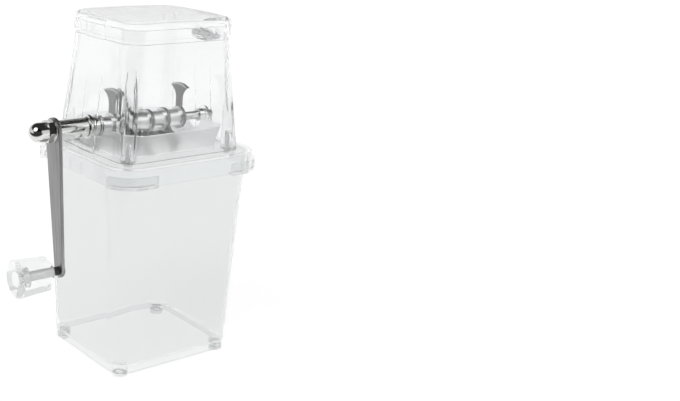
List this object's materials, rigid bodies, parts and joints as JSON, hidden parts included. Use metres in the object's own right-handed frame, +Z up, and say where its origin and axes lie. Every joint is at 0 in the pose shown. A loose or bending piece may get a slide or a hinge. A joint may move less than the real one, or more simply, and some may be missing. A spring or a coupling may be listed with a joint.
{
  "type": "hand cranked ice shaver",
  "caption": "Clear box-shaped ice shaver: side crank, drum of blades above a fixed comb, hinged lid on a tapered hopper, and a lift-off tub below that catches the ice.",
  "frame": {"origin": "centre of the footprint, on the surface that the feet stand on", "axes": "+Z up, +X along the shaft away from the crank, -Y the front"},
  "size_m": [0.1764, 0.1172, 0.25],
  "materials": {
    "clear_plastic": "moulded clear, polished",
    "soft_clear": "soft clear, satin",
    "brushed_steel": "brushed lengthways",
    "blade_steel": "stamped, satin",
    "bright_plate": "bright plated"
  },
  "bodies": {
    "tub": {"ice_container": "clear_plastic", "feet": "soft_clear"},
    "head": {"crusher_base": "clear_plastic", "fixed_comb": "brushed_steel", "comb_screws": "bright_plate", "hopper": "clear_plastic", "hopper_screws": "bright_plate", "hinge_pin": "bright_plate", "left_bush": "bright_plate", "right_bush": "bright_plate"},
    "lid": {"lid": "clear_plastic"},
    "crank": {"drive_shaft": "brushed_steel", "blade_1": "blade_steel", "blade_2": "blade_steel", "blade_3": "blade_steel", "blade_4": "blade_steel", "blade_5": "blade_steel", "spacer_1": "blade_steel", "spacer_2": "blade_steel", "spacer_3": "blade_steel", "spacer_4": "blade_steel", "thrust_washer": "brushed_steel", "retaining_clips": "brushed_steel", "crank_sleeve": "bright_plate", "crank_arm": "brushed_steel", "crank_washer": "bright_plate", "cap_nut": "bright_plate", "knob_pin": "bright_plate"},
    "knob": {"knob": "clear_plastic"}
  },
  "joints": [
    {"name": "head_lift", "type": "slide", "parent": "tub", "child": "head", "axis": [0, 0, 1], "range_m": [0, 0.05]},
    {"name": "lid_hinge", "type": "hinge", "parent": "head", "child": "lid", "pos_m": [0.0495, 0, 0.2334], "axis": [0, 1, 0], "range_deg": [0, 110]},
    {"name": "crank_turn", "type": "hinge", "parent": "head", "child": "crank", "pos_m": [0, 0, 0.173], "axis": [1, 0, 0], "continuous": true},
    {"name": "knob_spin", "type": "hinge", "parent": "crank", "child": "knob", "pos_m": [-0.1, -0.011, 0.07643], "axis": [1, 0, 0], "continuous": true}
  ]
}
